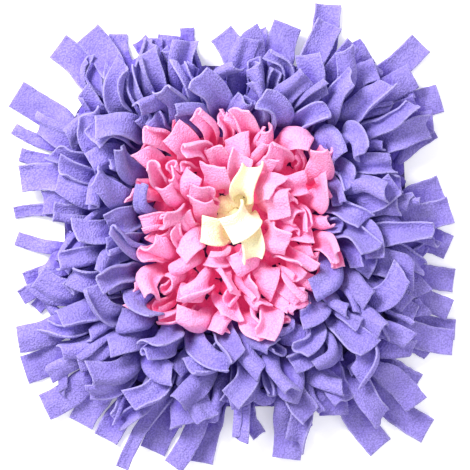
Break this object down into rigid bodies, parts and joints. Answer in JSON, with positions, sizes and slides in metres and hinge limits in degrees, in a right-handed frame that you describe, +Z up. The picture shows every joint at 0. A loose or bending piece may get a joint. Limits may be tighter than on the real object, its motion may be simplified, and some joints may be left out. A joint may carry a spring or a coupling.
{
  "type": "snuffle mat",
  "caption": "Square mat of fleece strips tied to a hidden base, purple round a pink middle with a cream tuft, in which a pet sniffs out treats.",
  "frame": {"origin": "middle of the base mat's underside, on the floor", "axes": "+Z up out of the pile, +Y towards the side that the cream tuft is nearer to, +X to the right seen from above"},
  "size_m": [0.389, 0.4064, 0.068],
  "materials": {
    "base_cloth": "matt dark felt",
    "purple_fleece": "matt lilac purple polar fleece with a fine pebbled nap",
    "pink_fleece": "matt rose pink polar fleece with a fine pebbled nap",
    "cream_fleece": "matt cream polar fleece with a fine pebbled nap"
  },
  "bodies": {
    "root": {"base_mat": "base_cloth", "purple_row_1": "purple_fleece", "purple_row_2": "purple_fleece", "purple_row_3": "purple_fleece", "purple_row_4": "purple_fleece", "purple_row_5": "purple_fleece", "pink_row_1": "pink_fleece", "pink_row_2": "pink_fleece", "pink_row_3": "pink_fleece", "pink_row_4": "pink_fleece", "cream_tuft": "cream_fleece"}
  },
  "joints": []
}
